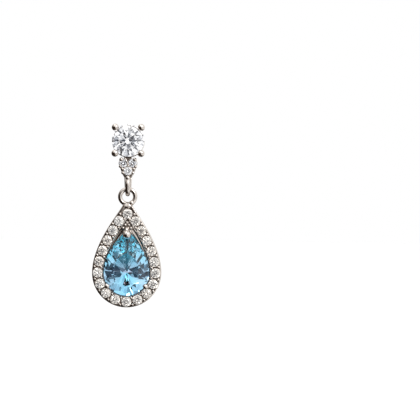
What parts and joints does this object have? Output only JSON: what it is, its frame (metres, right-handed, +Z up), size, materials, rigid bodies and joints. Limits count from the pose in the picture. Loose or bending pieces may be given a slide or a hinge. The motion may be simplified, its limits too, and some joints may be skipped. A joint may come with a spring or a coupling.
{
  "type": "teardrop earring",
  "caption": "Drop earring: a claw-set round stone over a small cluster, and a blue pear stone in a paved teardrop frame that swings on a ring.",
  "frame": {"origin": "where the ear post leaves the flat back of the stud, at the front of the ear lobe", "axes": "+Z up, +Y along the post towards the back of the ear, front of the earring towards -Y, +X to the right as seen from the front"},
  "size_m": [0.0106, 0.0151, 0.0282],
  "materials": {
    "silver": "polished, rhodium plated silver",
    "clear_stone": "polished, faceted",
    "blue_stone": "polished, faceted"
  },
  "bodies": {
    "stud": {"stud_setting": "silver", "round_stone": "clear_stone", "cluster_stone_left": "clear_stone", "cluster_stone_right": "clear_stone", "cluster_stone_bottom": "clear_stone", "ear_post": "silver"},
    "drop": {"halo_frame": "silver", "pear_stone": "blue_stone"}
  },
  "joints": [
    {"name": "drop_swing", "type": "hinge", "parent": "stud", "child": "drop", "pos_m": [0, -0.00229, -0.00749], "axis": [1, 0, 0], "range_deg": [-140, 110]}
  ]
}
